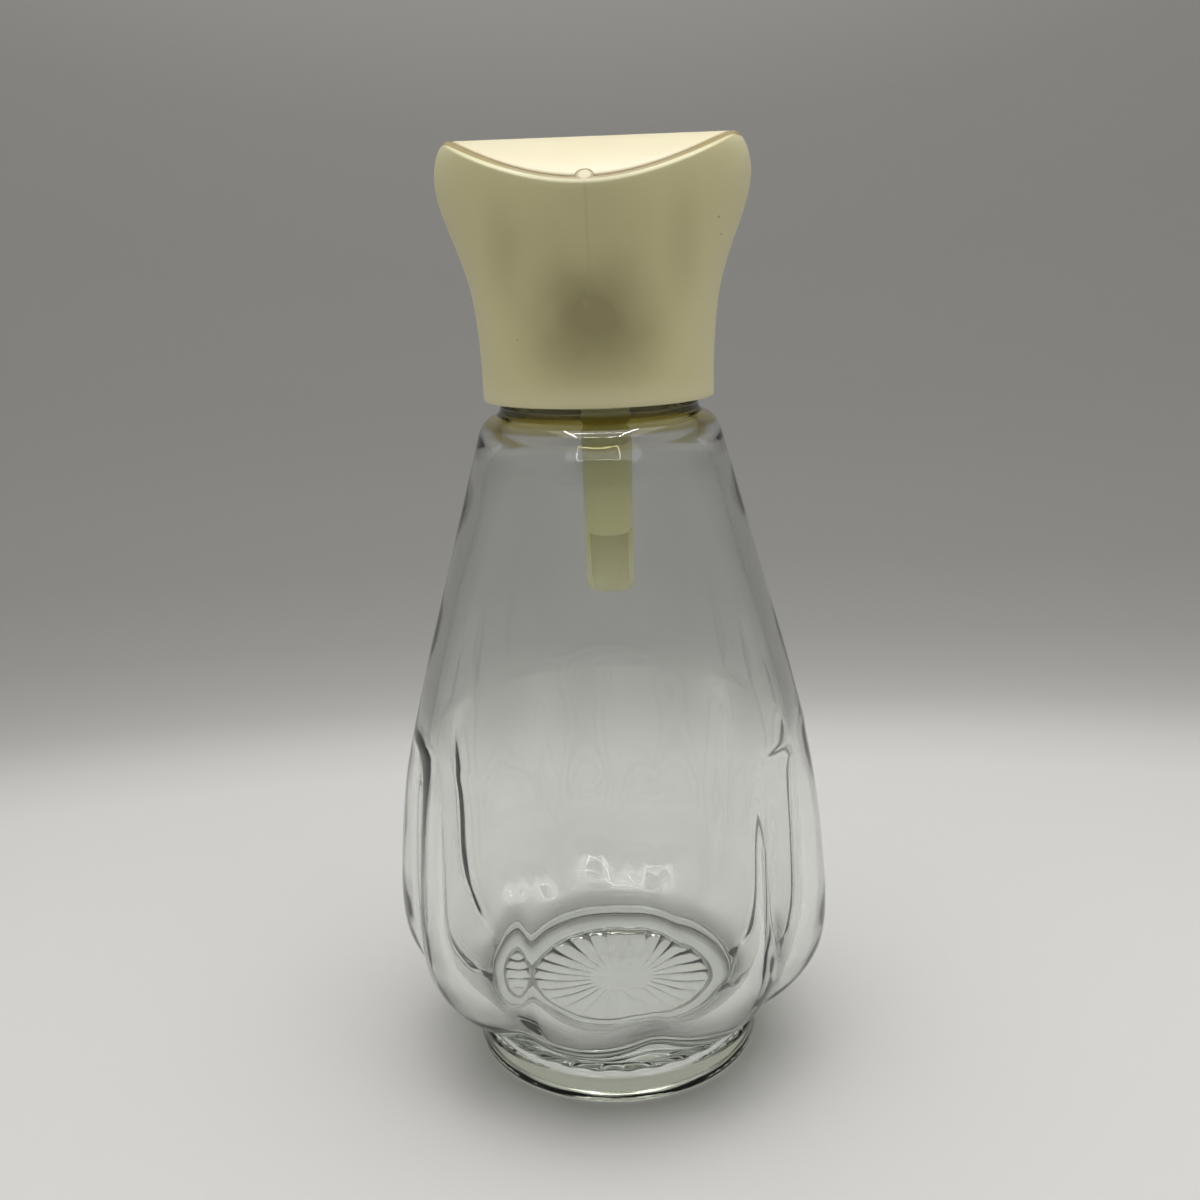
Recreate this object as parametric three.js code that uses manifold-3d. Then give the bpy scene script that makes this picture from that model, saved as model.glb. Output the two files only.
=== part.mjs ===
// A glass syrup dispenser with a screwed-on plastic cap.
// Units are millimetres, +Z is up and the bottle stands on the plane z = 0 round the Z axis.
// The cap's front faces -Y and its two ears point along X.
import * as THREE from 'three';
import { mergeVertices } from 'three/addons/utils/BufferGeometryUtils.js';
import Module from 'manifold-3d';

// Clearances
const GAP = 0.3; // between pieces that touch

// Glass: the foot and the waist above it
const FOOT_RADIUS = 27.2;
const FOOT_HEIGHT = 5.0;
const FOOT_ROUND = 1.0;
const WAIST_RADIUS = 25.8;
const WAIST_Z = 7.6;

// Glass: the lobed belly
const LOBES = 9;
const OUTER_FACES = 8; // round each lobe
const INNER_FACES = 5;
const FIRST_CREASE_DEG = -75.8; // from +X towards +Y
const BELLY_RADIUS = 40.8;
const BELLY_Z = 28;
const LOBE_TOP_Z = 64;
const CREASE_DEPTH = 3.3;
const CREASE_GROWTH = 0.5; // exponent: the crease deepens fast under the lobe's top
const CREASE_FULL_Z = 32; // from here down to the next height the crease has its full depth
const CREASE_END_Z = 20; // below this the crease runs out towards the waist

// Glass: the straight cone, the shoulder and the neck
const CONE_TOP_RADIUS = 21.5;
const CONE_TOP_Z = 117;
const CONE_FOOT_RADIUS = 36.5;
const SHOULDER_Z = 119.6;
const NECK_RADIUS = 17.4;
const NECK_ROOT_Z = 121.6;
const NECK_TOP_Z = 137.7;
const NECK_BORE = 14.6;
const LIP_ROUND = 1.0;
const NECK_BEADS_Z = [123.4, 131.0];
const BEAD_HEIGHT = 0.6;
const BEAD_HALF_WIDTH = 1.0;

// Glass: the hollow inside
const WALL = 2.7;
const LOBE_WALL = 3.7; // at the middle of a lobe
const FLOOR_Z = 10.2;
const FLOOR_RADIUS = 21;
const INNER_CREASE_SHARE = 0.55; // how much of a crease shows inside

// Glass: the starburst pressed up into the base
const RAYS = 24;
const BURST_RADIUS = 20.4;
const BURST_HUB_RADIUS = 5.0;
const BURST_Z = 2.4;
const BURST_RELIEF = 1.3;
const RECESS_DRAFT = 0.6; // how much wider the recess is at the standing plane

// Cap
const CAP_BOTTOM_Z = 123.5;
const CAP_CREST_Z = 166.4;
const CAP_DEPTH = 20.0; // half the cap's depth along Y
const CAP_FACES = 48; // round the cap
const CROWN_RADIUS = 28.2; // of the crowned top, round an axis along X
const CROWN_SWEEP_DEG = 60; // each way from the crest, past the front and back
const CAP_WALL = 1.6;
const CAP_BORE = 18.4;
const DECK_Z = 138.0;
const DECK_THICKNESS = 1.6;
const LEDGE = 1.0; // carries the top plate
const THROAT_Z = 152; // from here up the chamber is wide enough for the ledge

// Top plate set into the cap
const PLATE_HALF_LENGTH = 23.0;
const PLATE_HALF_DEPTH = 18.6;
const PLATE_THICKNESS = 1.8;
const KEY_RADIUS = 1.7; // half-round key of the rim in the plate's front edge

// Vent tube
const TUBE_RADIUS = 4.4;
const TUBE_FACES = 28;
const TUBE_BORE = 3.4;
const TUBE_X = 1.1;
const TUBE_TIP_Z = 87.6;
const TUBE_SCOOP_Z = 99.0; // top of the cut that opens the front half
const TONGUE_CORNER = 1.6; // rounding of the lower corners that stay behind
const COLLAR_RADIUS = 6.8;
const COLLAR_HEIGHT = 1.4;

const wasm = await Module();
wasm.setup();

// Turns a closed geometry into a solid that can be cut and joined.
function toSolid(geometry) {
  const bare = geometry.index ? geometry.clone() : geometry;
  bare.deleteAttribute('normal');
  bare.deleteAttribute('uv');
  const merged = mergeVertices(bare, 1e-4);
  return new wasm.Manifold(new wasm.Mesh({
    numProp: 3,
    vertProperties: new Float32Array(merged.attributes.position.array),
    triVerts: new Uint32Array(merged.index.array),
  }));
}

// Turns a solid back into a geometry.
function toGeometry(solid) {
  const mesh = solid.getMesh();
  const geometry = new THREE.BufferGeometry();
  geometry.setAttribute('position', new THREE.BufferAttribute(mesh.vertProperties, 3));
  geometry.setIndex(new THREE.BufferAttribute(mesh.triVerts, 1));
  geometry.computeVertexNormals();
  return geometry;
}

// Joins rings of equally many points, from the lowest ring up, into one closed body.
function loft(rings) {
  const around = rings[0].length;
  const positions = rings.flat().flatMap((p) => [p.x, p.y, p.z]);
  const index = [];
  for (let k = 0; k + 1 < rings.length; k += 1) {
    for (let i = 0; i < around; i += 1) {
      const a = k * around + i;
      const b = k * around + ((i + 1) % around);
      index.push(a, b, b + around, a, b + around, a + around);
    }
  }
  const closeEnd = (ring, start, up) => {
    const centre = positions.length / 3;
    positions.push(0, 0, ring[0].z);
    for (let i = 0; i < around; i += 1) {
      const a = start + i;
      const b = start + ((i + 1) % around);
      index.push(...(up ? [centre, a, b] : [centre, b, a]));
    }
  };
  closeEnd(rings[0], 0, false);
  closeEnd(rings[rings.length - 1], (rings.length - 1) * around, true);
  const geometry = new THREE.BufferGeometry();
  geometry.setAttribute('position', new THREE.Float32BufferAttribute(positions, 3));
  geometry.setIndex(index);
  return geometry;
}

// Turns (radius, z) points into a body of revolution round the Z axis.
function turned(points, segments) {
  return new THREE.LatheGeometry(points, segments).rotateX(Math.PI / 2);
}

const at = (x, y) => new THREE.Vector2(x, y);

// Points of a smooth curve through a few key points.
function smooth(keys, steps) {
  return new THREE.SplineCurve(keys).getPoints(steps);
}

// Points of a rounded corner between two points.
function rounded(from, towards, to, steps) {
  return new THREE.QuadraticBezierCurve(from, towards, to).getPoints(steps);
}

// How deep the creases between the lobes are at a height.
function creaseDepth(z) {
  if (z >= LOBE_TOP_Z || z <= WAIST_Z) return 0;
  const fromTop = Math.min(1, (LOBE_TOP_Z - z) / (LOBE_TOP_Z - CREASE_FULL_Z));
  const toWaist = Math.min(1, (z - WAIST_Z) / (CREASE_END_Z - WAIST_Z));
  return CREASE_DEPTH * fromTop ** CREASE_GROWTH * toWaist;
}

// Radius of a ring of lobes at an angle from a lobe's middle: a round arc from crease to crease.
function lobeRadius(angle, middle, crease) {
  const half = Math.PI / LOBES;
  const centre = (middle ** 2 - crease ** 2) / (2 * (middle - crease * Math.cos(half)));
  const arc = middle - centre;
  return centre * Math.cos(angle) + Math.sqrt(arc ** 2 - (centre * Math.sin(angle)) ** 2);
}

// One ring of the glass at a height, with its creases that deep.
function lobedRing(middle, z, depth, perLobe) {
  const ring = [];
  const half = Math.PI / LOBES;
  for (let lobe = 0; lobe < LOBES; lobe += 1) {
    const start = THREE.MathUtils.degToRad(FIRST_CREASE_DEG) + 2 * half * lobe;
    for (let i = 0; i < perLobe; i += 1) {
      const angle = (2 * half * i) / perLobe;
      const r = lobeRadius(angle - half, middle, middle - depth);
      ring.push(new THREE.Vector3(r * Math.cos(start + angle), r * Math.sin(start + angle), z));
    }
  }
  return ring;
}

// Outside of the glass from the foot to the neck's lip, as (radius, z) points.
function glassProfile() {
  const slope = (CONE_FOOT_RADIUS - CONE_TOP_RADIUS) / (CONE_TOP_Z - LOBE_TOP_Z);
  const cone = (z) => at(CONE_TOP_RADIUS + slope * (CONE_TOP_Z - z), z);
  const underside = smooth([
    at(WAIST_RADIUS, WAIST_Z), at(29.7, 11.2), at(34.1, 14.0), at(37.6, 18.0), at(39.9, 22.6),
    at(BELLY_RADIUS, BELLY_Z),
  ], 11);
  const flank = smooth([
    at(BELLY_RADIUS, BELLY_Z), at(40.4, 37), at(39.5, 47), at(38.0, 58), cone(LOBE_TOP_Z),
  ], 9);
  const beads = NECK_BEADS_Z.flatMap((z) => [
    at(NECK_RADIUS, z - BEAD_HALF_WIDTH),
    at(NECK_RADIUS + BEAD_HEIGHT, z),
    at(NECK_RADIUS, z + BEAD_HALF_WIDTH),
  ]);
  return [
    ...rounded(at(FOOT_RADIUS - FOOT_ROUND, 0), at(FOOT_RADIUS, 0), at(FOOT_RADIUS, FOOT_ROUND), 2),
    ...rounded(at(FOOT_RADIUS, FOOT_HEIGHT - FOOT_ROUND), at(FOOT_RADIUS, FOOT_HEIGHT),
      at(WAIST_RADIUS, FOOT_HEIGHT + FOOT_ROUND / 2), 2),
    ...underside, ...flank.slice(1), cone(80), cone(98), cone(CONE_TOP_Z),
    ...rounded(at(CONE_TOP_RADIUS - 0.3, CONE_TOP_Z + 0.9), at(CONE_TOP_RADIUS - 0.9, SHOULDER_Z),
      at(NECK_RADIUS + 1.2, NECK_ROOT_Z - 0.8), 3),
    at(NECK_RADIUS, NECK_ROOT_Z), ...beads,
    at(NECK_RADIUS, NECK_TOP_Z - LIP_ROUND), at(NECK_RADIUS - LIP_ROUND, NECK_TOP_Z),
  ];
}

// Hollow of the glass from its floor up through the neck, as (radius, z) points.
function hollowProfile() {
  return [
    ...smooth([
      at(FLOOR_RADIUS, FLOOR_Z), at(29.2, 12.6), at(33.8, 17.4), at(BELLY_RADIUS - LOBE_WALL, BELLY_Z),
      at(36.7, 36), at(35.8, 47), at(CONE_FOOT_RADIUS - WALL, LOBE_TOP_Z),
    ], 12),
    ...smooth([
      at(CONE_TOP_RADIUS - WALL, CONE_TOP_Z - 1.2), at(NECK_BORE + 2.2, CONE_TOP_Z + 1.4),
      at(NECK_BORE, NECK_ROOT_Z),
    ], 3),
    at(NECK_BORE, NECK_TOP_Z + 1),
  ];
}

// The bottle: lobed outside, smoother inside, with the starburst cut up into its base.
function bottle() {
  const outside = glassProfile().map((p) => lobedRing(p.x, p.y, creaseDepth(p.y), OUTER_FACES));
  const inside = hollowProfile().map(
    (p) => lobedRing(p.x, p.y, creaseDepth(p.y) * INNER_CREASE_SHARE, INNER_FACES));
  return toSolid(loft(outside)).subtract(toSolid(loft(inside))).subtract(toSolid(loft(starburst())));
}

// The die of the starburst: a shallow round recess whose top is pleated into rays.
function starburst() {
  const steps = RAYS * 2;
  const ring = (r, height) => Array.from({ length: steps }, (_, i) => {
    const angle = (2 * Math.PI * i) / steps;
    return new THREE.Vector3(r * Math.cos(angle), r * Math.sin(angle), height(i));
  });
  const flat = () => BURST_Z;
  const pleated = (i) => BURST_Z + (i % 2 ? BURST_RELIEF : 0);
  return [
    ring(BURST_RADIUS + RECESS_DRAFT, () => -1),
    ring(BURST_RADIUS, flat),
    ring(BURST_RADIUS - BURST_RELIEF, pleated),
    ring(BURST_HUB_RADIUS + BURST_RELIEF, pleated),
    ring(BURST_HUB_RADIUS, flat),
  ];
}

// Half length of the cap along X by height: straight skirt, flare, and ears that round over.
const earLine = smooth([
  at(20.1, CAP_BOTTOM_Z - 6), at(20.1, CAP_BOTTOM_Z), at(20.15, 129.5), at(20.45, 135), at(21.3, 141.6),
  at(23.2, 148.2), at(25.5, 154.6), at(26.5, 159.4), at(26.25, 162.6), at(25.2, 165.2), at(24.0, CAP_CREST_Z),
  at(23.0, CAP_CREST_Z + 0.6),
], 120);

function capHalfLength(z) {
  const k = earLine.findIndex((p) => p.y > z);
  const [below, above] = [earLine[k - 1], earLine[k]];
  return THREE.MathUtils.mapLinear(z, below.y, above.y, below.x, above.x);
}

// A body that stays an inset inside the cap's outer form, between two heights.
function capForm(inset, low, high, levels) {
  const ring = (z) => Array.from({ length: CAP_FACES }, (_, i) => {
    const angle = (2 * Math.PI * i) / CAP_FACES;
    return new THREE.Vector3(
      (capHalfLength(z) - inset) * Math.cos(angle), (CAP_DEPTH - inset) * Math.sin(angle), z);
  });
  return toSolid(loft(Array.from({ length: levels + 1 },
    (_, k) => ring(low + ((high - low) * k) / levels))));
}

// Everything under the crowned top when that is lowered by some depth.
function underCrown(lowered) {
  const sweep = THREE.MathUtils.degToRad(CROWN_SWEEP_DEG);
  const arc = new THREE.Path().absarc(0, CAP_CREST_Z - CROWN_RADIUS, CROWN_RADIUS - lowered,
    Math.PI / 2 - sweep, Math.PI / 2 + sweep).getPoints(12);
  const floor = CAP_BOTTOM_Z - 2;
  const outline = new THREE.Shape([...arc, at(arc[arc.length - 1].x, floor), at(arc[0].x, floor)]);
  const length = 3 * PLATE_HALF_LENGTH;
  const prism = new THREE.ExtrudeGeometry(outline, { depth: length, bevelEnabled: false, steps: 1 });
  return toSolid(prism.translate(0, 0, -length / 2).rotateX(Math.PI / 2).rotateZ(Math.PI / 2));
}

// A straight upright cylinder between two heights.
function drum(radius, low, high, x, y, segments) {
  const geometry = turned([at(0, low), at(radius, low), at(radius, high), at(0, high)], segments);
  return toSolid(geometry.translate(x, y, 0));
}

// Upright elliptical body round the top plate from a height up, let out by a clearance.
function plateColumn(clearance, low) {
  const high = CAP_CREST_Z + 2;
  const unit = turned([at(0, low), at(1, low), at(1, high), at(0, high)], CAP_FACES);
  return toSolid(unit.scale(PLATE_HALF_LENGTH + clearance, PLATE_HALF_DEPTH + clearance, 1));
}

// Half-round key at the middle of the plate's front edge.
function key(clearance) {
  return drum(KEY_RADIUS + clearance, THROAT_Z, CAP_CREST_Z, 0, -PLATE_HALF_DEPTH, 16);
}

// The cap: skirt, deck on the neck's lip, flared upper body and the recess for the top plate.
function capShell() {
  const aboveDeck = DECK_Z + DECK_THICKNESS;
  const outside = capForm(0, CAP_BOTTOM_Z, CAP_CREST_Z + 0.2, 14).intersect(underCrown(0));
  const bore = drum(CAP_BORE, CAP_BOTTOM_Z - 1, DECK_Z, 0, 0, CAP_FACES);
  const chamber = capForm(CAP_WALL, aboveDeck, CAP_CREST_Z, 6)
    .intersect(underCrown(PLATE_THICKNESS + GAP + LEDGE));
  const throat = plateColumn(GAP - LEDGE, THROAT_Z);
  const recess = plateColumn(GAP, THROAT_Z).subtract(underCrown(PLATE_THICKNESS + GAP)).subtract(key(0));
  const tubeHole = drum(TUBE_RADIUS + GAP, DECK_Z - 1, aboveDeck + 1, TUBE_X, 0, TUBE_FACES);
  return outside.subtract(bore).subtract(chamber).subtract(throat).subtract(recess).subtract(tubeHole);
}

// The crowned plate that closes the cap's top.
function topPlate() {
  const crowned = underCrown(0).subtract(underCrown(PLATE_THICKNESS));
  return plateColumn(0, THROAT_Z).intersect(crowned).subtract(key(GAP));
}

// What rounds off one lower corner of the tube's tongue: side is -1 or 1.
function tongueCorner(side) {
  const x = TUBE_X + side * (TUBE_RADIUS - TONGUE_CORNER);
  const z = TUBE_TIP_Z + TONGUE_CORNER;
  const size = 2 * TONGUE_CORNER;
  const depth = 4 * TUBE_RADIUS;
  const block = new THREE.BoxGeometry(size, depth, size).translate(x + (side * size) / 2, 0, z - size / 2);
  const round = new THREE.CylinderGeometry(TONGUE_CORNER, TONGUE_CORNER, 2 * depth, 24).translate(x, 0, z);
  return toSolid(block).subtract(toSolid(round));
}

// The vent tube: hung by its collar on the deck. Its lower end is open in front, and a tongue stays behind.
function ventTube() {
  const collarZ = DECK_Z + DECK_THICKNESS + GAP;
  const tube = turned([
    at(TUBE_BORE, TUBE_TIP_Z), at(TUBE_RADIUS, TUBE_TIP_Z), at(TUBE_RADIUS, collarZ),
    at(COLLAR_RADIUS, collarZ), at(COLLAR_RADIUS, collarZ + COLLAR_HEIGHT),
    at(TUBE_BORE, collarZ + COLLAR_HEIGHT), at(TUBE_BORE, TUBE_TIP_Z),
  ], TUBE_FACES).translate(TUBE_X, 0, 0);
  const rise = TUBE_SCOOP_Z - TUBE_TIP_Z + 2;
  const depth = 2 * TUBE_RADIUS;
  const front = new THREE.BoxGeometry(2 * depth, depth, rise)
    .translate(TUBE_X, 0.2 - depth / 2, TUBE_SCOOP_Z - rise / 2);
  return toSolid(tube).subtract(toSolid(front)).subtract(tongueCorner(-1)).subtract(tongueCorner(1));
}

// Wraps a solid in a named mesh with its own material.
function piece(name, solid, color, roughness, extra = {}) {
  const material = new THREE.MeshStandardMaterial({ color, roughness, metalness: 0, ...extra });
  const mesh = new THREE.Mesh(toGeometry(solid), material);
  mesh.name = name;
  return mesh;
}

const dispenser = new THREE.Group();
dispenser.add(piece('glass_bottle', bottle(), 0xe4ebe4, 0.05, { transparent: true, opacity: 0.35 }));
dispenser.add(piece('cap_shell', capShell(), 0xe3dcae, 0.4));
dispenser.add(piece('cap_top_plate', topPlate(), 0xf2e8c4, 0.4));
dispenser.add(piece('vent_tube', ventTube(), 0xe3dcae, 0.45));

export default dispenser;
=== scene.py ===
"""An empty glass syrup dispenser: a lobed bottle, a flared cream cap and the vent tube hanging inside it.

Lengths in the classes are millimetres, in the frame of the CAD part: +Z up, the cap's front towards -Y.
"""

from __future__ import annotations

import logging
import math
from dataclasses import dataclass, field
from enum import Enum
from typing import Callable, Mapping, Sequence, Union

import bpy
import numpy as np
from mathutils import Matrix, Vector


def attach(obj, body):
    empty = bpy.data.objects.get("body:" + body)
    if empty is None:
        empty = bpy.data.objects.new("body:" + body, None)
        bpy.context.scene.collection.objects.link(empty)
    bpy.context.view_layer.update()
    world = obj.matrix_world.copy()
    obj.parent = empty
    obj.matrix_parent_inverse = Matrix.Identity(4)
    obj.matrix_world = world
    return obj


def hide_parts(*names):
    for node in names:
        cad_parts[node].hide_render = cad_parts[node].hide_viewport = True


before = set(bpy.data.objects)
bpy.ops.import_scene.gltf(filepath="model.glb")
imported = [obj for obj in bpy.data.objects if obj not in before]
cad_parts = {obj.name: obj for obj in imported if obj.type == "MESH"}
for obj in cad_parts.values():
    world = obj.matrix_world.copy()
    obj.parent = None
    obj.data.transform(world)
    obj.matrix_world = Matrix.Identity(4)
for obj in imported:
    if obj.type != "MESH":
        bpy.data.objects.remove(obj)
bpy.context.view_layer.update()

MM = 0.001
BODY = "root"
TAU = 2 * math.pi
log = logging.getLogger("dispenser")

Pair = tuple[float, float]
Triple = tuple[float, float, float]
Colour = Triple
Array = np.ndarray
Numbers = Union[Array, float]
Piece = bpy.types.Object
Material = bpy.types.Material
Tree = bpy.types.NodeTree
Value = Union["Wire", float, int, Sequence[float]]
# A soft step: where it starts and where it ends, then its values there unless they are 0 and 1.
Step = tuple[float, ...]


# Node trees


def operator(operation: str, swapped: bool = False) -> Callable[[Wire, Value], Wire]:
    """Makes one of a wire's operators.

    Args:
        operation: the Math node's operation.
        swapped: whether the wire stands on the right, as in 1 - wire.

    Returns:
        The method.
    """

    def join(wire: Wire, other: Value) -> Wire:
        """Adds the Math node."""
        return wire.bench.maths(operation, *((other, wire) if swapped else (wire, other)))

    return join


class Wire:
    """One output socket of a node. Arithmetic on it adds Math nodes to its tree."""

    __add__, __radd__ = operator("ADD"), operator("ADD", True)
    __sub__, __rsub__ = operator("SUBTRACT"), operator("SUBTRACT", True)
    __mul__, __rmul__ = operator("MULTIPLY"), operator("MULTIPLY", True)
    __truediv__, __rtruediv__ = operator("DIVIDE"), operator("DIVIDE", True)

    def __init__(self, bench: Bench, socket: bpy.types.NodeSocket) -> None:
        """Keeps the tree's builder and the output that this stands for."""
        self.bench = bench
        self.socket = socket


class Bench:
    """Adds nodes to one shader or geometry tree."""

    def __init__(self, tree: Tree) -> None:
        """Keeps the tree that the nodes go into."""
        self.tree = tree

    def node(
        self,
        kind: str,
        settings: Mapping[str, object] | None = None,
        values: Mapping[object, Value] | None = None,
    ) -> bpy.types.Node:
        """Adds one node.

        Args:
            kind: the node's type.
            settings: the node's own properties, set first; "stops" fills a colour ramp.
            values: numbers, colours or wires by the input's name or number.

        Returns:
            The new node.
        """
        node = self.tree.nodes.new(kind)
        for key, value in (settings or {}).items():
            if key == "stops":
                self._fill_ramp(node.color_ramp, value)
            else:
                setattr(node, key, value)
        for key, value in (values or {}).items():
            socket = node.inputs[key]
            if isinstance(value, Wire):
                self.tree.links.new(value.socket, socket)
            else:
                socket.default_value = value
        return node

    @staticmethod
    def _fill_ramp(ramp: bpy.types.ColorRamp, stops: Sequence[tuple[float, Colour]]) -> None:
        """Sets the stops of a colour ramp.

        Args:
            ramp: the ramp to fill.
            stops: place and colour of each stop, from the left.
        """
        while len(ramp.elements) < len(stops):
            ramp.elements.new(0.5)
        for element, (place, colour) in zip(ramp.elements, stops):
            element.position = place
            element.color = (*colour, 1)

    def wire(self, node: bpy.types.Node, output: str | int = 0) -> Wire:
        """One output of a node as a wire."""
        return Wire(self, node.outputs[output])

    def maths(self, operation: str, *values: Value) -> Wire:
        """A Math node on one to three values."""
        return self.wire(self.node("ShaderNodeMath", {"operation": operation}, dict(enumerate(values))))

    def vector(self, operation: str, *values: Value, output: str = "Vector") -> Wire:
        """A Vector Math node on its values."""
        node = self.node("ShaderNodeVectorMath", {"operation": operation}, dict(enumerate(values)))
        return self.wire(node, output)

    def length(self, vector: Value) -> Wire:
        """How long a vector is."""
        return self.vector("LENGTH", vector, output="Value")

    def parts(self, vector: Value) -> tuple[Wire, ...]:
        """The X, Y and Z of a vector."""
        split = self.node("ShaderNodeSeparateXYZ", None, {0: vector})
        return tuple(self.wire(split, axis) for axis in "XYZ")

    def ramp(self, value: Value, low: float, high: float, start: float = 0.0, end: float = 1.0) -> Wire:
        """Reads a value through a soft step.

        Args:
            value: what is read.
            low: where the step starts.
            high: where it ends.
            start: the result up to low.
            end: the result from high on.

        Returns:
            The stepped value.
        """
        ends = {"Value": value, "From Min": low, "From Max": high, "To Min": start, "To Max": end}
        node = self.node("ShaderNodeMapRange", {"interpolation_type": "SMOOTHSTEP"}, ends)
        return self.wire(node, "Result")


@dataclass(frozen=True)
class Spot:
    """A soft spot: its middle and reach in metres, the share of the reach that is full, and its strength."""

    centre: Triple
    reach: Triple
    core: float = 0.3
    strength: float = 1.0


@dataclass(frozen=True)
class Mark:
    """A tint on part of a finish: its colour, how much of it shows, and the soft steps and spots it lies in.

    Each step says what it reads, where it starts and where it ends.
    """

    colour: Colour
    share: float
    steps: tuple[tuple[str, float, float], ...] = ()
    spots: tuple[Spot, ...] = ()


class Paint(Bench):
    """A new material's shader tree on Object coordinates, with the patterns that the finishes share."""

    def __init__(self, name: str) -> None:
        """Starts an empty material and reads the place of its points.

        Args:
            name: the material's name.
        """
        self.material = bpy.data.materials.new(name)
        self.material.use_nodes = True
        self.material.node_tree.nodes.clear()
        super().__init__(self.material.node_tree)
        self.place = self.wire(self.node("ShaderNodeTexCoord"), "Object")
        self.flat = self.vector("MULTIPLY", self.place, (1, 1, 0))
        self.reads = dict(zip("xyz", self.parts(self.place)), radius=self.length(self.flat))

    def mapped(self, scale: Sequence[float], turn: float = 0.0) -> Wire:
        """Object coordinates, turned about Z and scaled."""
        spun = self.node("ShaderNodeMapping", None, {"Vector": self.place, "Rotation": (0, 0, turn)})
        return self.wire(self.node("ShaderNodeMapping", None, {"Vector": self.wire(spun), "Scale": scale}))

    def noise(self, size: float, detail: float = 2.0, stretch: Triple = (1, 1, 1)) -> Wire:
        """Makes noise from 0 to 1.

        Args:
            size: width of its spots in metres.
            detail: how many finer layers it has.
            stretch: how much finer it is along each axis.

        Returns:
            The noise.
        """
        values = {"Vector": self.mapped(stretch), "Scale": 1 / size, "Detail": detail, "Roughness": 0.55}
        return self.wire(self.node("ShaderNodeTexNoise", None, values))

    def blot(self, spot: Spot) -> Wire:
        """A soft spot's mask: its strength in its core and 0 past its reach."""
        away = self.vector("DIVIDE", self.vector("SUBTRACT", self.place, spot.centre), spot.reach)
        return self.ramp(self.length(away), spot.core, 1.0, 1.0, 0.0) * spot.strength

    def mix(self, factor: Value, first: Value, second: Value) -> Wire:
        """Mixes two colours.

        Args:
            factor: how much of the second shows.
            first: a colour or a wire.
            second: the same.

        Returns:
            The mixed colour.
        """
        first, second = ((*colour, 1) if isinstance(colour, tuple) else colour for colour in (first, second))
        values = {0: factor, 6: first, 7: second}
        return self.wire(self.node("ShaderNodeMix", {"data_type": "RGBA"}, values), 2)

    def marked(self, colour: Value, marks: Sequence[Mark]) -> Value:
        """Lays marks over a colour.

        Args:
            colour: the colour.
            marks: the marks, the lowest first.

        Returns:
            The marked colour.
        """
        for mark in marks:
            mask: Value = 0.0 if mark.spots else 1.0
            for spot in mark.spots:
                mask = self.maths("MAXIMUM", mask, self.blot(spot))
            for source, low, high in mark.steps:
                mask = self.ramp(self.reads[source], low, high) * mask
            colour = self.mix(mask * mark.share, colour, mark.colour)
        return colour

    def bump(self, height: Value, distance: float) -> Wire:
        """A Bump node: height from 0 to 1 over a distance in metres."""
        return self.wire(self.node("ShaderNodeBump", None, {"Height": height, "Distance": distance}))

    def principled(self, values: Mapping[str, Value], **more: Wire) -> Material:
        """Ends the tree in a Principled shader.

        Args:
            values: the shader's inputs by name.
            more: what else goes into the output, by input.

        Returns:
            The material.
        """
        shader = self.wire(self.node("ShaderNodeBsdfPrincipled", None, values))
        self.node("ShaderNodeOutputMaterial", None, {"Surface": shader, **more})
        return self.material


# Finishes


@dataclass(frozen=True)
class ClearGlass:
    """Pressed clear glass with a faint grey-green body and fire-polished, slightly wavy surfaces.

    A band of the shoulder has a painted olive reflection of the cream cap above it. The foot's ring, seen
    along the glass, is darker and greener.
    """

    clear: Colour = (0.93, 0.937, 0.925)
    marks: tuple[Mark, ...] = (
        # Painted reflection: the olive band on the shoulder where the glass mirrors the cream cap.
        Mark((0.38, 0.30, 0.03), 0.95, (("z", 0.1188, 0.1195), ("z", 0.1228, 0.1216))),
        Mark((0.40, 0.42, 0.33), 1.0, (("z", 0.0056, 0.0048), ("radius", 0.0262, 0.0268))),
    )
    tint: Colour = (0.62, 0.74, 0.60)
    density: float = 9.0
    ior: float = 1.5
    wave_size: float = 0.012
    wave_height: float = 0.0001
    wave_stretch: Triple = (1, 1, 0.45)

    def material(self) -> Material:
        """Makes the glass.

        Returns:
            The material.
        """
        paint = Paint("clear_glass")
        waves = paint.noise(self.wave_size, 1.0, self.wave_stretch)
        body = {"Color": (*self.tint, 1), "Density": self.density}
        return paint.principled({
            "Base Color": paint.marked(self.clear, self.marks),
            "Roughness": 0.0,
            "IOR": self.ior,
            "Transmission Weight": 1.0,
            "Normal": paint.bump(waves, self.wave_height),
        }, Volume=paint.wire(paint.node("ShaderNodeVolumeAbsorption", None, body)))


class PlasticTone(Enum):
    """Colours of the cream plastics, and the paler colour of the painted light on the cap."""

    CAP = (0.79, 0.735, 0.405)
    PLATE = (0.93, 0.84, 0.57)
    TUBE = (0.98, 0.91, 0.47)
    # Painted light: the paler tone where light shines through the cap or catches its rim.
    PAINTED_LIGHT = (0.90, 0.84, 0.57)


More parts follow.
